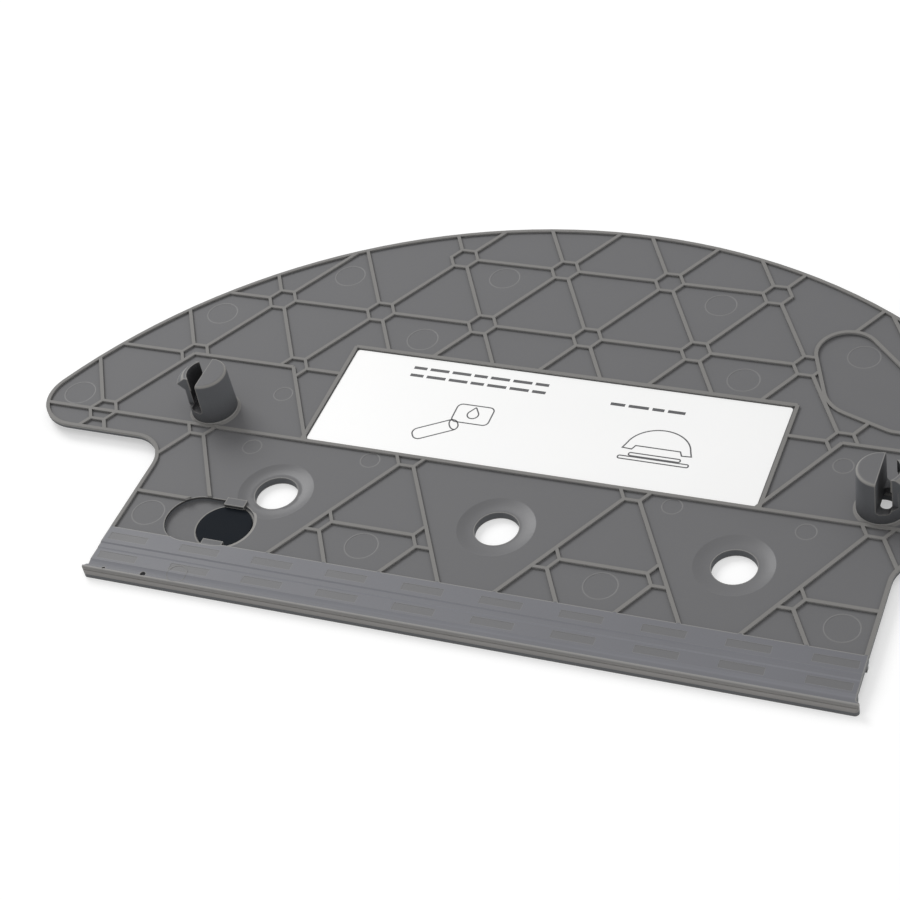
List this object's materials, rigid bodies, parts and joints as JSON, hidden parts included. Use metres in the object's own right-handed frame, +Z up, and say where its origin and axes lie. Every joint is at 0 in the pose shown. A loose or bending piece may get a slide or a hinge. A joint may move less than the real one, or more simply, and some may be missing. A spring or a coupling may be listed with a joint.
{
  "type": "robot vacuum mop bracket",
  "caption": "D-shaped moulded plate with a hexagon rib grid, snap posts, drip holes and an edge channel, which carries the mop cloth under a robot vacuum's water tank.",
  "frame": {"origin": "under the middle of the plate, on the surface that it rests on", "axes": "+X along the straight front edge, to the right seen from the front; +Y from the front edge to the round back; +Z up, towards the snap posts"},
  "size_m": [0.3136, 0.1706, 0.0184],
  "materials": {
    "moulded_plastic": "fine matt moulded grey ABS",
    "magnet_coating": "matt black epoxy coat",
    "label_film": "white self-adhesive film, satin",
    "hook_tape": "black woven hook tape"
  },
  "bodies": {
    "root": {"bracket_plate": "moulded_plastic", "magnet_disc": "magnet_coating", "label_film": "label_film", "hook_pad_rear": "hook_tape", "hook_pad_middle": "hook_tape", "hook_pad_left": "hook_tape", "hook_pad_right": "hook_tape"}
  },
  "joints": []
}
